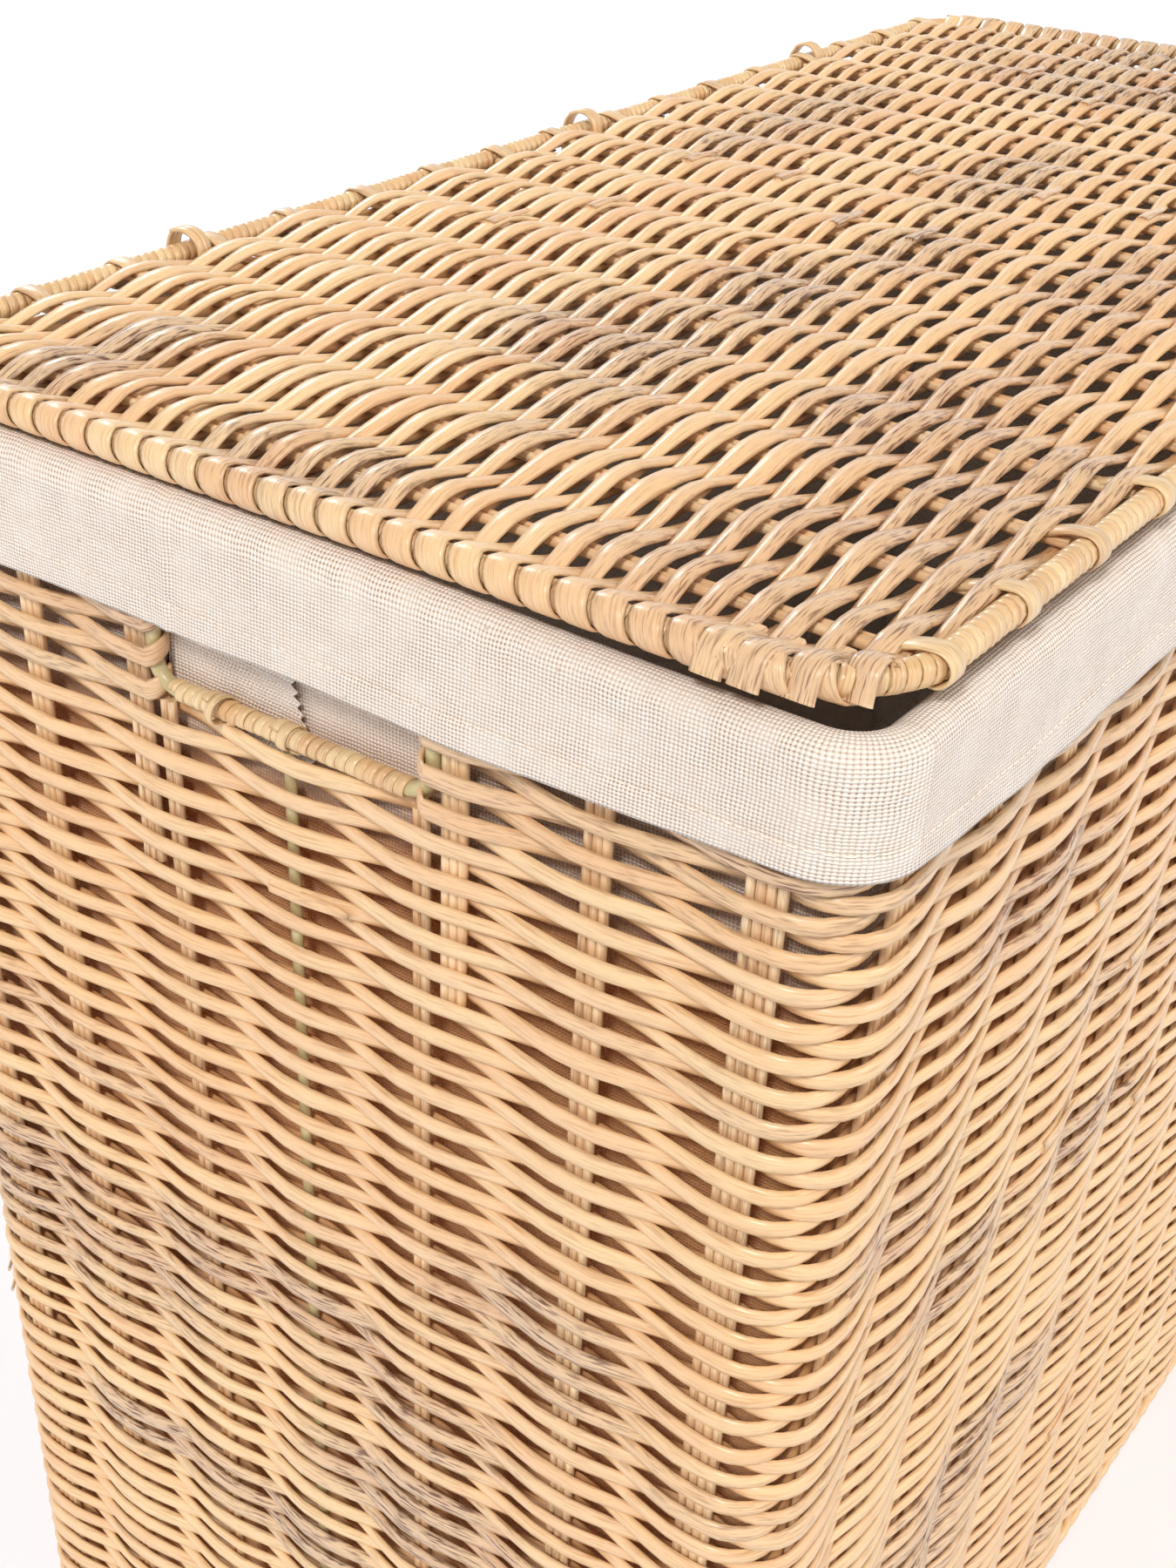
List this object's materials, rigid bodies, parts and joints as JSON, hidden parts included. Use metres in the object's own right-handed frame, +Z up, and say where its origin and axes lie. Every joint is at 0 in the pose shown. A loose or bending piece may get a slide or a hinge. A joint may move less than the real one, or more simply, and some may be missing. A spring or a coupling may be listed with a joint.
{
  "type": "woven laundry basket",
  "caption": "Tall rectangular laundry basket woven in rattan, with a hinged woven lid, hand slots in both ends and a cloth liner turned down over the rim.",
  "frame": {"origin": "middle of the footprint, on the floor", "axes": "+X along the long side, -Y front, +Y hinge side, +Z up"},
  "size_m": [0.705, 0.3577, 0.5935],
  "materials": {
    "rattan_weave": "half-round rattan core, natural, semi-gloss",
    "rattan_stake": "round rattan core, natural, matt",
    "cane_binding": "flat rattan peel, natural gloss",
    "frame_wire": "steel wire, beige paint",
    "liner_cloth": "plain-weave linen and cotton, ecru"
  },
  "bodies": {
    "basket": {"side_weave": "rattan_weave", "front_stakes": "rattan_stake", "back_stakes": "rattan_stake", "left_end_stakes": "rattan_stake", "right_end_stakes": "rattan_stake", "left_slot_posts": "rattan_stake", "right_slot_posts": "rattan_stake", "left_slot_wire": "frame_wire", "right_slot_wire": "frame_wire", "left_slot_wrap": "cane_binding", "right_slot_wrap": "cane_binding", "left_end_wire": "frame_wire", "right_end_wire": "frame_wire", "rim_wire": "frame_wire", "rim_binding": "cane_binding", "base_wire": "frame_wire", "foot_border": "rattan_weave", "base_weave": "rattan_weave", "base_stakes": "rattan_stake", "liner_bag": "liner_cloth", "liner_bottom": "liner_cloth", "liner_cuff": "liner_cloth", "hinge_loops": "cane_binding"},
    "lid": {"lid_wire": "frame_wire", "lid_front_binding": "cane_binding", "lid_back_binding": "cane_binding", "lid_left_end_binding": "rattan_weave", "lid_right_end_binding": "rattan_weave", "lid_weave": "rattan_weave", "lid_stakes": "rattan_stake"}
  },
  "joints": [
    {"name": "lid_hinge", "type": "hinge", "parent": "basket", "child": "lid", "pos_m": [0, 0.1705, 0.5839], "axis": [-1, 0, 0], "range_deg": [0, 105]}
  ]
}
